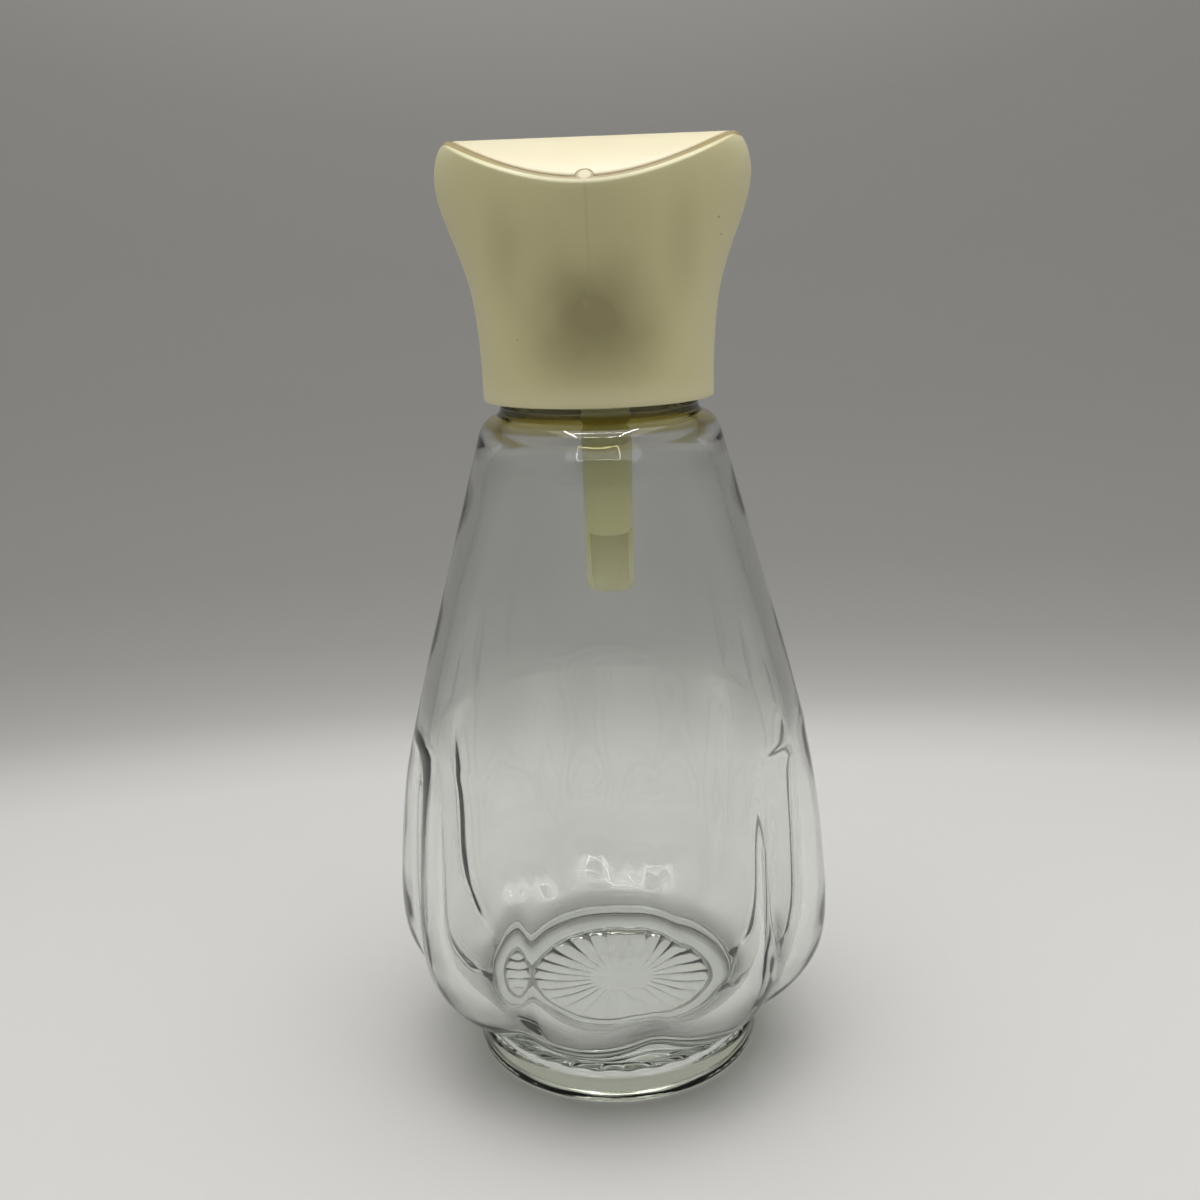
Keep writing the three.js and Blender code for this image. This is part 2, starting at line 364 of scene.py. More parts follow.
@dataclass(frozen=True)
class Plastic:
    """Satin cream plastic with soft clouds of a second colour, and marks over them.

    The marks may also read "out", which is 1 on an ellipse with the given half axes, "below", the depth under
    the crowned top, and "aside", the distance from the tube's middle along X. Clouds without a step are noise.
    """

    name: str
    tone: PlasticTone
    cloud: Colour
    cloud_share: float
    cloud_size: float
    marks: tuple[Mark, ...]
    gloss_size: float
    gloss: Pair
    cloud_step: Pair | None = None
    cloud_detail: float = 3.0
    cloud_stretch: Triple = (1, 1, 1)
    oval: Pair = (1.0, 1.0)
    scatter: float = 0.0
    scatter_radius: Triple = (1.0, 0.85, 0.4)
    scatter_scale: float = 0.002
    gloss_step: Pair = (0.3, 0.8)
    grain_size: float = 0.0012
    grain_height: float = 0.00001
    ior: float = 1.49

    def material(self) -> Material:
        """Makes the plastic.

        Returns:
            The material.
        """
        paint = Paint(self.name)
        reads = paint.reads
        crown, crest = CapForm.crown_radius * MM, CapForm.crest * MM
        drop = paint.maths("SQRT", crown * crown - reads["y"] * reads["y"])
        reads["below"] = crest - crown + drop - reads["z"]
        reads["out"] = paint.length(paint.vector("DIVIDE", paint.flat, (*self.oval, 1)))
        reads["aside"] = paint.maths("ABSOLUTE", reads["x"] - VentTube.x * MM)
        clouds = paint.noise(self.cloud_size, self.cloud_detail, self.cloud_stretch)
        if self.cloud_step:
            clouds = paint.ramp(clouds, *self.cloud_step)
        colour = self.shaded(paint, paint.mix(clouds * self.cloud_share, self.tone.value, self.cloud))
        return paint.principled({
            "Base Color": paint.marked(colour, self.marks),
            "Roughness": paint.ramp(paint.noise(self.gloss_size), *self.gloss_step, *self.gloss),
            "IOR": self.ior,
            "Subsurface Weight": self.scatter,
            "Subsurface Radius": self.scatter_radius,
            "Subsurface Scale": self.scatter_scale,
            "Normal": paint.bump(paint.noise(self.grain_size), self.grain_height),
        })

    def shaded(self, paint: Paint, colour: Wire) -> Wire:
        """What lies between the clouds and the marks: plain plastic has nothing there."""
        return colour


@dataclass(frozen=True)
class CapPlastic(Plastic):
    """The cap's plastic, with a weld line in front.

    It has painted shade where the tube and inner walls stand behind it.
    """

    # Painted shade: its colour, how much it wanders and how dark it may get.
    shade: Colour = (0.33, 0.29, 0.14)
    shade_wander: float = 0.9
    wander_size: float = 0.011
    darkest: float = 0.9
    # Painted shade: shadows of the tube and inner walls seen through the plastic, and a broad darker middle.
    shadows: tuple[Spot, ...] = (
        Spot((0.0006, -0.019, 0.1356), (0.0175, 0.014, 0.0150), 0.05, 0.74),
        Spot((-0.0135, -0.014, 0.1490), (0.0052, 0.012, 0.0150), 0.1, 0.18),
        Spot((0.0150, -0.014, 0.1490), (0.0044, 0.012, 0.0150), 0.1, 0.20),
        Spot((0.0, -0.019, 0.1470), (0.0190, 0.014, 0.0230), 0.1, 0.34),
    )
    weld: Colour = (0.50, 0.44, 0.23)
    weld_share: float = 0.22
    weld_x: float = 0.0002
    weld_bend: float = 0.0009
    bend_size: float = 0.008
    weld_side: Pair = (0.00045, 0.00008)
    weld_foot: Pair = (0.1395, 0.1425)
    weld_top: Pair = (0.1595, 0.1575)
    weld_back: Pair = (-0.010, -0.014)
    weld_dot: Spot = Spot((-0.0003, -0.0200, 0.1400), (0.0009, 0.003, 0.0009))

    def shaded(self, paint: Paint, colour: Wire) -> Wire:
        """Lays the painted shadows and the weld line over the clouds.

        Args:
            paint: the material's tree.
            colour: the clouded colour.

        Returns:
            The shaded colour.
        """
        wander = paint.noise(self.wander_size) - 0.5
        amount: Value = 0.0
        for spot in self.shadows:
            amount = paint.blot(spot) + amount
        wandering = paint.maths("MAXIMUM", amount + amount * wander * self.shade_wander, 0.0)
        colour = paint.mix(paint.maths("MINIMUM", wandering, self.darkest), colour, self.shade)
        return paint.mix(self.weld_line(paint) * self.weld_share, colour, self.weld)

    def weld_line(self, paint: Paint) -> Wire:
        """Draws the thin line down the front from the key, and the dot that it ends in.

        Args:
            paint: the material's tree.

        Returns:
            The line's mask.
        """
        reads = paint.reads
        bend = (paint.noise(self.bend_size, 1.0) - 0.5) * self.weld_bend
        aside = paint.maths("ABSOLUTE", reads["x"] + bend - self.weld_x)
        line = paint.ramp(aside, *self.weld_side) * paint.ramp(reads["z"], *self.weld_foot)
        line = line * paint.ramp(reads["z"], *self.weld_top)
        line = paint.maths("MAXIMUM", line, paint.blot(self.weld_dot))
        return line * paint.ramp(reads["y"], *self.weld_back)


SPECKS = (
    Spot((0.0208, -0.0106, 0.1526), (0.00026, 0.003, 0.00026)),
    Spot((0.0212, -0.0100, 0.1500), (0.0002, 0.003, 0.0002)),
    Spot((-0.0118, -0.0172, 0.1345), (0.0002, 0.003, 0.0002)),
)
KEY_SPOT = Spot((0.0, -0.0186, 0.1593), (0.0012, 0.0011, 0.003), 0.6)
# Its marks: painted light that makes the skirt and the back paler, specks, a painted highlight on the rim,
# the seam round the top plate, and the key.
CAP_PLASTIC = CapPlastic(
    "cap_plastic", PlasticTone.CAP, cloud=(0.80, 0.74, 0.44), cloud_share=0.22, cloud_size=0.016,
    cloud_step=(0.3, 0.75), oval=(0.0252, 0.01955), gloss_size=0.006, gloss=(0.34, 0.46), marks=(
        # Painted light: the skirt paler low down.
        Mark(PlasticTone.PAINTED_LIGHT.value, 0.4, (("z", 0.1285, 0.1245),)),
        # Painted light: the sides and back paler than the front.
        Mark(PlasticTone.PAINTED_LIGHT.value, 0.5, (("y", -0.016, -0.004),)),
        Mark((0.16, 0.12, 0.06), 0.55, spots=SPECKS),
        # Painted highlight on the rim's outer rounding.
        Mark(PlasticTone.PAINTED_LIGHT.value, 0.15, (("below", 0.0010, 0.0005), ("out", 0.998, 1.008))),
        Mark((0.34, 0.245, 0.07), 0.9, (("out", 1.003, 0.993), ("below", 0.0045, 0.0035))),
        Mark((0.78, 0.68, 0.42), 0.9, spots=(KEY_SPOT,)),
    ),
)
# Its mark is the darker gap round it.
PLATE_PLASTIC = Plastic(
    "plate_plastic", PlasticTone.PLATE, cloud=(0.90, 0.80, 0.51), cloud_share=0.35, cloud_size=0.009,
    cloud_step=(0.35, 0.7), oval=(0.0232, 0.0188), gloss_size=0.005, gloss=(0.36, 0.46),
    marks=(Mark((0.50, 0.38, 0.17), 0.55, (("out", 0.975, 0.999),)),),
)
# Thin enough to glow a little. Its marks are painted light: the tongue's paler hollow side and the paler
# sides of the tube.
TUBE_PLASTIC = Plastic(
    "tube_plastic", PlasticTone.TUBE, cloud=(0.99, 0.93, 0.54), cloud_share=0.4, cloud_size=0.007,
    cloud_detail=2.0, cloud_stretch=(1, 1, 0.4), scatter=0.4, gloss_size=0.004, gloss=(0.34, 0.44), marks=(
        # Painted light on the hollow side of the tongue below the cut.
        Mark((1.0, 0.97, 0.68), 0.8, (("z", 0.0996, 0.0982), ("y", -0.0002, 0.0003))),
        # Painted light on the tube's sides, paler away from its middle.
        Mark((0.95, 0.92, 0.66), 0.6, (("aside", 0.0034, 0.0042),)),
    ),
)


# Meshes


def turns(count: int) -> Array:
    """Evenly spaced angles round the axis."""
    return TAU * np.arange(count) / count


def circle(angles: Array, half_length: Numbers, half_depth: Numbers, z: Numbers) -> Array:
    """Points round the axis at given angles, on a circle or an ellipse."""
    heights = np.broadcast_to(z, angles.shape)
    return np.stack([half_length * np.cos(angles), half_depth * np.sin(angles), heights], axis=1)


def smooth_line(keys: Sequence[Pair], per_span: int) -> list[Pair]:
    """Points of an evenly bending curve through key points: a natural cubic spline over the chords' length.

    Args:
        keys: the points that the curve passes.
        per_span: points from each key to the next.

    Returns:
        The curve's points, both ends among them.
    """
    points = np.array(keys, float)
    spans = np.linalg.norm(np.diff(points, axis=0), axis=1)
    count = len(points)
    system = np.eye(count)
    pull = np.zeros((count, 2))
    for i in range(1, count - 1):
        system[i, i - 1 : i + 2] = spans[i - 1], 2 * (spans[i - 1] + spans[i]), spans[i]
        pull[i] = 6 * ((points[i + 1] - points[i]) / spans[i] - (points[i] - points[i - 1]) / spans[i - 1])
    bend = np.linalg.solve(system, pull)
    line = []
    for i, span in enumerate(spans):
        for near in np.arange(per_span) / per_span:
            far = 1 - near
            place = points[i] * far + points[i + 1] * near
            place = place + span**2 / 6 * ((far**3 - far) * bend[i] + (near**3 - near) * bend[i + 1])
            line.append(tuple(place))
    line.append(tuple(points[-1]))
    return line


def corner(start: Pair, apex: Pair, end: Pair, steps: int) -> list[Pair]:
    """Points of a rounded corner from start to end, drawn towards apex."""
    a, b, c = (np.array(p, float) for p in (start, apex, end))
    return [tuple(a * (1 - t) ** 2 + 2 * b * t * (1 - t) + c * t**2) for t in np.linspace(0, 1, steps + 1)]


def straight(start: Pair, end: Pair, steps: int) -> list[Pair]:
    """Evenly spaced points from start up to, and without, end."""
    a, b = np.array(start, float), np.array(end, float)
    return [tuple(a + (b - a) * t / steps) for t in range(steps)]


def mesh_object(name: str, points: Sequence, faces: Sequence, closed: bool = True) -> Piece:
    """A smooth-shaded object, whose faces point outwards where it is closed.

    Args:
        name: the object's name.
        points: its points in metres.
        faces: point numbers of each face, all turned the same way.
        closed: whether it encloses a volume.

    Returns:
        The object, linked to the scene.
    """
    mesh = bpy.data.meshes.new(name)
    mesh.from_pydata([tuple(p) for p in points], [], [tuple(f) for f in faces])
    if closed and signed_volume(mesh) < 0:
        mesh.flip_normals()
    mesh.polygons.foreach_set("use_smooth", [True] * len(mesh.polygons))
    mesh.update()
    made = bpy.data.objects.new(name, mesh)
    bpy.context.scene.collection.objects.link(made)
    return made


def signed_volume(mesh: bpy.types.Mesh) -> float:
    """Measures the volume inside a closed mesh.

    Args:
        mesh: the mesh.

    Returns:
        The volume, below zero where the faces point inwards.
    """
    mesh.calc_loop_triangles()
    places = np.empty(len(mesh.vertices) * 3)
    mesh.vertices.foreach_get("co", places)
    corners = np.empty(len(mesh.loop_triangles) * 3, int)
    mesh.loop_triangles.foreach_get("vertices", corners)
    a, b, c = places.reshape(-1, 3)[corners.reshape(-1, 3)].transpose(1, 0, 2)
    return float(np.einsum("ij,ij->i", a, np.cross(b, c)).sum() / 6)


def band_faces(bands: int, rings: int, around: int) -> list[tuple[int, ...]]:
    """Four-sided faces between rings of points.

    Args:
        bands: how many bands of faces there are.
        rings: how many rings there are, after which the first follows again.
        around: points in each ring.

    Returns:
        The faces.
    """
    return [
        (k * around + i, k * around + (i + 1) % around,
         (k + 1) % rings * around + (i + 1) % around, (k + 1) % rings * around + i)
        for k in range(bands) for i in range(around)
    ]


def wrapped(name: str, loops: Array) -> Piece:
    """Joins rings into a closed ring-shaped skin: the last ring meets the first.

    Args:
        name: the object's name.
        loops: points in metres by ring and by place round it.

    Returns:
        The object.
    """
    rings, around = loops.shape[:2]
    return mesh_object(name, loops.reshape(-1, 3), band_faces(rings, rings, around))


def poled(name: str, loops: Array) -> Piece:
    """Joins rings into a closed skin with a point on the axis at both ends.

    Args:
        name: the object's name.
        loops: points in metres by ring and by place round it; the first and last ring each hold one place.

    Returns:
        The object.
    """
    rings, around = len(loops) - 2, loops.shape[1]
    points = np.vstack([loops[1:-1].reshape(-1, 3), loops[0, 0], loops[-1, 0]])
    low, high, last = rings * around, rings * around + 1, (rings - 1) * around
    faces = band_faces(rings - 1, rings, around)
    faces += [(low, (i + 1) % around, i) for i in range(around)]
    faces += [(high, last + i, last + (i + 1) % around) for i in range(around)]
    return mesh_object(name, points, faces)


def carve(body: Piece, tool: Piece, operation: str) -> None:
    """Cuts a closed tool out of a body or joins it on, and deletes the tool.

    Args:
        body: the object that is changed.
        tool: the other solid.
        operation: DIFFERENCE or UNION.
    """
    step = body.modifiers.new("carve", "BOOLEAN")
    step.operation, step.object, step.solver = operation, tool, "MANIFOLD"
    bake_modifiers(body)
    bpy.data.objects.remove(tool)


def bake_modifiers(piece: Piece) -> None:
    """Puts a piece's evaluated mesh in place of its own and takes its modifiers off.

    Args:
        piece: the object that is changed.
    """
    mesh = bpy.data.meshes.new_from_object(piece.evaluated_get(bpy.context.evaluated_depsgraph_get()))
    piece.modifiers.clear()
    piece.data = mesh


def dress(piece: Piece, material: Material, angle: float = 40.0) -> None:
    """Gives a piece its one material, and smooth shading but for edges that turn by more than an angle.

    Args:
        piece: the object.
        material: the material.
        angle: the angle in degrees.
    """
    piece.data.materials.clear()
    piece.data.materials.append(material)
    piece.data.polygons.foreach_set("use_smooth", [True] * len(piece.data.polygons))
    piece.data.set_sharp_from_angle(angle=math.radians(angle))


def geometry_step(piece: Piece, tree: Tree, values: Mapping[str, object]) -> None:
    """Runs a geometry tree on a piece and keeps the result as its plain mesh.

    Args:
        piece: the object that the tree works on.
        tree: the geometry tree.
        values: the tree's inputs by name.
    """
    step = piece.modifiers.new(tree.name, "NODES")
    step.node_group = tree
    for item in tree.interface.items_tree:
        if item.item_type == "SOCKET" and item.in_out == "INPUT" and item.name in values:
            step[item.identifier] = values[item.name]
    bake_modifiers(piece)


class Geometry(Bench):
    """A geometry tree with named inputs."""

    def __init__(self, name: str, inputs: Mapping[str, str]) -> None:
        """Starts the tree.

        Args:
            name: the tree's name.
            inputs: socket type of each input, by its name. Geometry and material come by themselves.
        """
        tree = bpy.data.node_groups.new(name, "GeometryNodeTree")
        super().__init__(tree)
        tree.interface.new_socket("Geometry", in_out="INPUT", socket_type="NodeSocketGeometry")
        tree.interface.new_socket("Material", in_out="INPUT", socket_type="NodeSocketMaterial")
        for label, kind in inputs.items():
            tree.interface.new_socket(label, in_out="INPUT", socket_type=kind)
        tree.interface.new_socket("Geometry", in_out="OUTPUT", socket_type="NodeSocketGeometry")
        self.given = self.node("NodeGroupInput")
        self.place = self.wire(self.node("GeometryNodeInputPosition"))

    def input(self, label: str) -> Wire:
        """One of the tree's named inputs."""
        return self.wire(self.given, label)

    def attribute(self, name: str) -> Wire:
        """A number stored on the points."""
        return self.wire(self.node("GeometryNodeInputNamedAttribute", {"data_type": "FLOAT"}, {"Name": name}))

    def finish(self, **moved: Wire) -> Tree:
        """Ends the tree in Set Position, Realize Instances and Set Material.

        Args:
            moved: Position or Offset of the points.

        Returns:
            The tree.
        """
        placed = self.node("GeometryNodeSetPosition", None, {"Geometry": self.input("Geometry"), **moved})
        real = self.node("GeometryNodeRealizeInstances", None, {0: self.wire(placed)})
        values = {"Geometry": self.wire(real), "Material": self.input("Material")}
        self.node("NodeGroupOutput", None, {0: self.wire(self.node("GeometryNodeSetMaterial", None, values))})
        return self.tree


def lobe_tree() -> Tree:
    """Geometry tree that presses creases into a turned body, so that round lobes stand between them.

    The points carry "crease", how deep the crease is at their height, and "valley", the angle over which its
    bottom is rounded.

    Returns:
        The tree.
    """
    bench = Geometry("pressed_lobes", {"Lobes": "NodeSocketInt", "First Crease": "NodeSocketFloat"})
    x, y, z = bench.parts(bench.place)
    middle = bench.maths("SQRT", x * x + y * y)
    crease = middle - bench.attribute("crease")
    half = math.pi / bench.input("Lobes")
    turn = bench.maths("ARCTAN2", y, x) - bench.input("First Crease")
    along = bench.maths("ABSOLUTE", bench.maths("WRAP", turn, half * 2, 0.0) - half)
    valley = bench.attribute("valley")
    into = bench.maths("MAXIMUM", along - (half - valley), 0.0)
    angle = along - into * into / (valley * 2)
    centre = (middle * middle - crease * crease) / ((middle - crease * bench.maths("COSINE", half)) * 2)
    arc = middle - centre
    side = centre * bench.maths("SINE", angle)
    radius = centre * bench.maths("COSINE", angle) + bench.maths("SQRT", arc * arc - side * side)
    share = radius / bench.maths("MAXIMUM", middle, 1e-6)
    moved = bench.node("ShaderNodeCombineXYZ", None, {0: x * share, 1: y * share, 2: z})
    return bench.finish(Position=bench.wire(moved))


def ray_tree(name: str, mask: str) -> Tree:
    """Geometry tree that presses rounded flutes, as a starburst, up into the points that carry a mask.

    Args:
        name: the tree's name.
        mask: the number on the points that says how much of the relief they get.

    Returns:
        The tree.
    """
    bench = Geometry(name, {"Rays": "NodeSocketInt", "Relief": "NodeSocketFloat"})
    x, y, _ = bench.parts(bench.place)
    turn = bench.maths("ARCTAN2", y, x) / TAU + 0.5
    aside = bench.maths("PINGPONG", turn * bench.input("Rays") * 2, 1.0)
    height = (1 - aside * aside) * bench.attribute(mask) * bench.input("Relief")
    return bench.finish(Offset=bench.wire(bench.node("ShaderNodeCombineXYZ", None, {2: height})))


# Pieces


@dataclass
class GlassBottle:
    """The pressed glass bottle: foot, waist, nine lobes, cone, shoulder and neck, hollow inside."""

    finish: ClearGlass = ClearGlass()
    lobes: int = 9
    columns_per_lobe: int = 32
    first_crease: float = math.radians(-75.8)
    foot_radius: float = 27.2
    foot_height: float = 5.0
    foot_round: float = 1.2
    waist: Pair = (25.8, 7.6)
    belly: tuple[Pair, ...] = (
        (29.5, 10.9), (34.1, 14.0), (37.6, 18.0), (39.9, 22.6), (40.8, 28.5), (40.5, 37.0), (39.5, 47.0),
        (37.9, 57.0), (35.95, 65.0),
    )
    lobe_top: float = 64.0
    crease_depth: float = 3.3
    crease_full: float = 32.0
    crease_end: float = 20.0
    crease_fade: float = 0.8
    outer_valley: float = math.radians(5)
    inner_valley: float = math.radians(8)
    inner_crease_share: float = 1.1
    inner_crease_radius: float = 29.0
    cone_foot: float = 36.5
    cone_heights: tuple[float, ...] = (76.0, 88.0, 102.0)
    cone_top: Pair = (21.5, 117.0)
    shoulder: tuple[Pair, ...] = ((20.9, 119.8), (18.9, 120.7), (18.4, 120.9))
    neck_radius: float = 17.4
    neck_foot: Pair = (121.3, 122.2)
    neck_bore: float = 14.6
    bead_heights: Pair = (123.4, 131.0)
    bead_width: float = 1.0
    bead_height: float = 0.6
    lip_height: float = 137.7
    lip_round: float = 1.2
    bore_round: float = 0.8
    hollow: tuple[Pair, ...] = (
        (14.6, 121.6), (16.8, 118.4), (18.8, 115.0), (22.4, 103.0), (26.8, 88.0), (30.2, 76.0), (33.1, 65.0),
        (34.7, 57.0), (36.0, 47.0), (36.8, 37.0), (36.9, 29.5), (36.0, 24.6), (34.2, 20.6), (31.2, 17.0),
        (27.0, 14.2), (21.5, 12.6), (14.0, 12.1), (7.0, 12.0), (0.0, 12.0),
    )
    rays: int = 24
    burst_radius: float = 20.4
    burst_hub: float = 5.0
    burst_height: float = 2.4
    burst_relief: float = 0.45
    burst_fade_in: float = 1.5
    burst_fade_out: float = 1.2
    knurls: int = 72
    knurl_relief: float = 0.02
    knurl_inset: Pair = (1.8, 1.3)

    def crease(self, z: float) -> float:
        """Works out how deep the creases between the lobes are.

        Args:
            z: the height.

        Returns:
            The depth.
        """
        if not self.waist[1] < z < self.lobe_top:
            return 0.0
        from_top = min(1.0, (self.lobe_top - z) / (self.lobe_top - self.crease_full))
        to_waist = min(1.0, (z - self.waist[1]) / (self.crease_end - self.waist[1]))
        return self.crease_depth * (1 - (1 - from_top) ** 2) ** self.crease_fade * (1 - (1 - to_waist) ** 2)

    def inner_crease(self, r: float, z: float) -> float:
        """How deep the creases are inside: they fade towards the floor's middle."""
        return self.crease(z) * self.inner_crease_share * min(1.0, (r / self.inner_crease_radius) ** 4)

    def cone(self, z: float) -> Pair:
        """Point on the straight cone at a height."""
        slope = (self.cone_foot - self.cone_top[0]) / (self.cone_top[1] - self.lobe_top)
        return self.cone_top[0] + slope * (self.cone_top[1] - z), z

    def base_line(self) -> list[Triple]:
        """Draws the underside from the axis to the standing ring.

        Returns:
            Radius, height and share of the starburst's relief of each point.
        """
        reach, hub, high = self.burst_radius, self.burst_hub, self.burst_height
        line = [(r, high, 0.0) for r in (0.0, *np.linspace(0.6, hub, 6))]
        for r in np.linspace(hub + 0.3, reach - 0.35, 26):
            rise, fall = (r - hub) / self.burst_fade_in, (reach - 0.1 - r) / self.burst_fade_out
            line.append((float(r), high, min(1.0, rise) * min(1.0, fall) * r / reach))
        edge = corner((reach, high - 0.1), (reach + 0.5, 0.1), (reach + 1.4, 0.0), 6)
        line += [(r, z, 0.0) for r, z in edge]
        line += [(r, 0.0, 0.0) for r in np.linspace(reach + 2.0, self.foot_radius - 1.8, 7)]
        return line

    def outer_line(self) -> list[Pair]:
        """Draws the outside from the standing ring up over the lip.

        Returns:
            Radius and height of each point.
        """
        foot, high, soft = self.foot_radius, self.foot_height, self.foot_round
        line = corner((foot - soft, 0.0), (foot, 0.0), (foot, soft), 6)
        line += straight((foot, 1.6), (foot, high - 1.0), 4)
        line += corner((foot, high - 1.0), (foot, high), (foot - 0.9, high + 0.25), 6)
        line += corner((foot - soft, high + 0.4), (self.waist[0] - 0.1, high + 1.0), self.waist, 4)
        cone = [self.cone(z) for z in self.cone_heights]
        line += smooth_line([self.waist, *self.belly, *cone, self.cone_top], 8)[1:-1]
        line += corner(self.cone_top, *self.shoulder[:2], 9)
        neck, low, high = self.neck_radius, *self.bead_heights
        line += corner(self.shoulder[2], (neck, self.neck_foot[0]), (neck, self.neck_foot[1]), 4)
        line += self.bead(low)
        line += straight((neck, low + 1.4), (neck, high - 1.2), 3)
        line += self.bead(high)
        lip, bore = self.lip_height, self.neck_bore
        line += corner((neck, lip - self.lip_round), (neck, lip), (neck - self.lip_round, lip), 5)
        line += corner((bore + self.bore_round, lip), (bore, lip), (bore, lip - self.bore_round), 4)
        return line

    def bead(self, z: float) -> list[Pair]:
        """Points of a rounded ring round the neck."""
        rise = lambda t: self.bead_height * math.cos(t * math.pi / 2) ** 2
        return [(self.neck_radius + rise(t), z + self.bead_width * t) for t in np.linspace(-1, 1, 9)]

    def inner_line(self) -> list[Pair]:
        """Radius and height of the hollow, from the lip down to the floor's middle."""
        neck = straight((self.neck_bore, self.lip_height - 1.6), (self.neck_bore, self.hollow[0][1] + 1.0), 6)
        return neck + smooth_line(self.hollow, 7)

    def column_angles(self, evenness: float) -> Array:
        """Places the mesh's columns.

        Args:
            evenness: 1 for even spacing, 0 for columns drawn together at the creases.

        Returns:
            Their angles.
        """
        half = math.pi / self.lobes
        steps = np.arange(self.columns_per_lobe) / self.columns_per_lobe * 2 - 1
        within = half * (steps + (1 - evenness) * 0.25 * np.sin(math.pi * steps)) + half
        starts = self.first_crease + 2 * half * np.arange(self.lobes)
        return (starts[:, None] + within[None, :]).ravel()

    def build(self) -> Piece:
        """Builds the bottle.

        Returns:
            The finished piece.
        """
        base, outer, inner = self.base_line(), self.outer_line(), self.inner_line()
        rings = [circle(self.column_angles(1.0), r, r, z) for r, z, _ in base]
        rings += [circle(self.column_angles(0.0), r, r, z) for r, z in outer + inner]
        made = poled("glass_bottle_body", np.array(rings) * MM)
        sides = [0.0] * (len(outer) + len(inner))
        creases = [self.crease(z) for _, z in outer] + [self.inner_crease(r, z) for r, z in inner]
        self.mark(made, "crease", [0.0] * len(base) + [depth * MM for depth in creases])
        self.mark(made, "burst", [share for _, _, share in base] + sides)
        near, far = self.burst_radius + self.knurl_inset[0], self.foot_radius - self.knurl_inset[1]
        self.mark(made, "knurl", [float(near < r < far and z == 0) for r, z, _ in base] + sides)
        valleys = [self.outer_valley] * (len(base) + len(outer)) + [self.inner_valley] * len(inner)
        self.mark(made, "valley", valleys)
        material = self.finish.material()
        reliefs = (("burst", self.rays, self.burst_relief), ("knurl", self.knurls, self.knurl_relief))
        for name, rays, relief in reliefs:
            values = {"Material": material, "Rays": rays, "Relief": relief * MM}
            geometry_step(made, ray_tree(f"pressed_{name}", name), values)
        values = {"Material": material, "Lobes": self.lobes, "First Crease": self.first_crease}
        geometry_step(made, lobe_tree(), values)
        return made

    def mark(self, piece: Piece, name: str, by_ring: Sequence[float]) -> None:
        """Stores a number on the points of a poled skin.

        Args:
            piece: the skin.
            name: what the number is called.
            by_ring: the number on each ring.
        """
        around = self.lobes * self.columns_per_lobe
        values = np.concatenate([np.repeat(by_ring[1:-1], around), [by_ring[0], by_ring[-1]]])
        piece.data.attributes.new(name, "FLOAT", "POINT").data.foreach_set("value", values.astype(np.float32))


@dataclass
class CapForm:
    """The cap's outer shape: an ellipse in plan that flares into two ears, under a crowned top."""

    half_depth: float = 20.0
    bottom: float = 123.5
    crest: float = 166.4
    crown_radius: float = 28.2
    ear_keys: tuple[Pair, ...] = (
        (20.1, 117.5), (20.1, 123.5), (20.15, 129.5), (20.45, 135.0), (21.3, 141.6), (23.2, 148.2),
        (25.5, 154.6), (26.5, 159.4), (26.25, 162.6), (25.2, 165.2), (24.0, 166.4), (23.0, 167.0),
    )

    def __post_init__(self) -> None:
        """Works out the ear line once."""
        line = np.array(smooth_line(self.ear_keys, 12))
        self._lengths, self._heights = line[:, 0], line[:, 1]

    def half_length(self, z: Array) -> Array:
        """Half length along X at given heights."""
        return np.interp(z, self._heights, self._lengths)

    def crown(self, y: Array) -> Array:
        """Height of the crowned top at given places along Y."""
        return self.crest - self.crown_radius + np.sqrt(np.maximum(self.crown_radius**2 - y**2, 0))

    def below(self, depth: float) -> Callable[[Array], Array]:
        """Height at a depth below the crowned top, as a function of places along Y."""
        return lambda y: self.crown(y) - depth


